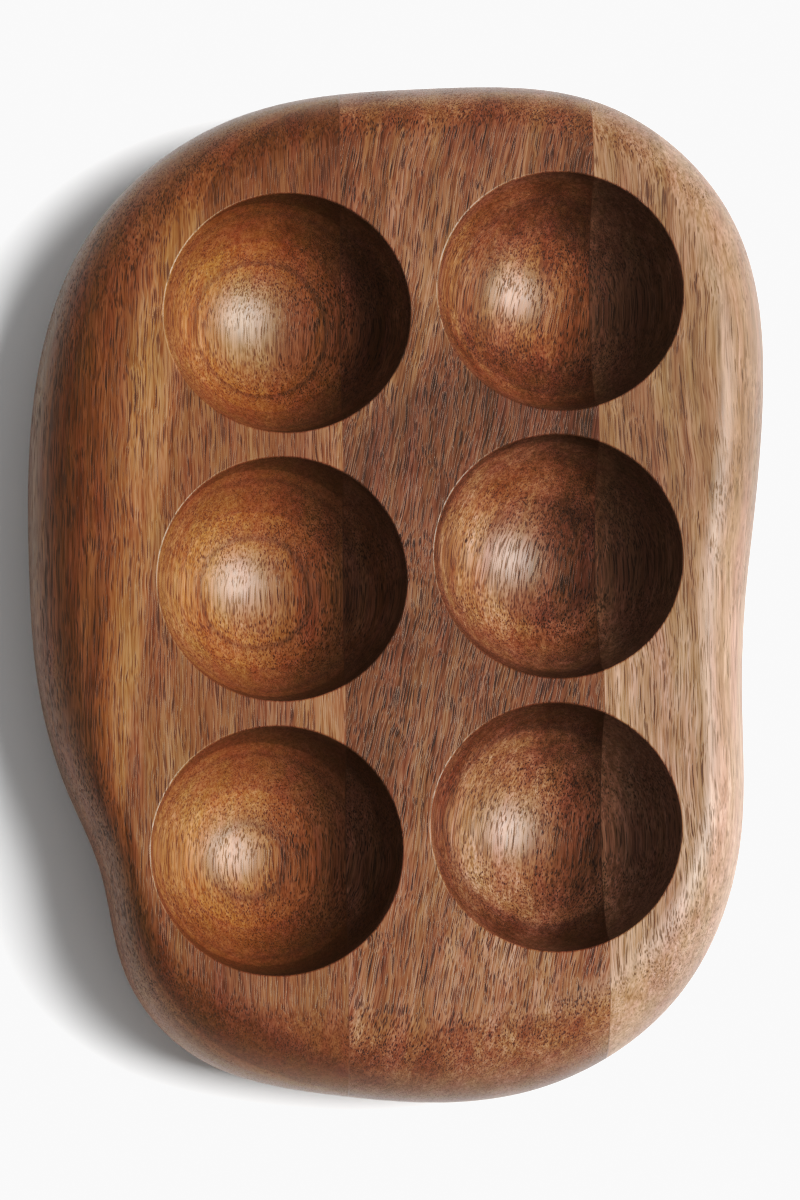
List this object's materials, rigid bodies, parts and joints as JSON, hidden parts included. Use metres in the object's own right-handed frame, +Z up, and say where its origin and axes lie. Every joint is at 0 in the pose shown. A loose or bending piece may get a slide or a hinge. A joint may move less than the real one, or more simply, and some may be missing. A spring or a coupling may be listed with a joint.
{
  "type": "egg holder tray",
  "caption": "Pebble-shaped wooden egg holder tray glued up from staves of different wood, with round hollows in two staggered columns and a rounded edge all round.",
  "frame": {"origin": "on the surface the tray stands on, under the middle of its plan outline", "axes": "+Z up through the hollows' open side, +Y along the grain and the glue lines, from the end with the narrow waist to the other end, +X across the staves"},
  "size_m": [0.1366, 0.1898, 0.032],
  "materials": {
    "orange_brown_wood": "flat-sawn tropical hardwood, orange-brown with dark pores, satin oil",
    "red_brown_wood": "interlocked tropical hardwood, red-brown with blue-black pores, satin oil",
    "pinkish_tan_wood": "straight-grained tropical hardwood, pinkish tan with fine pores, satin oil",
    "cured_glue": "thin dark line of cured wood glue, sanded flush"
  },
  "bodies": {
    "root": {"left_stave": "orange_brown_wood", "centre_stave": "red_brown_wood", "right_stave": "pinkish_tan_wood", "left_glue_line": "cured_glue", "right_glue_line": "cured_glue"}
  },
  "joints": []
}
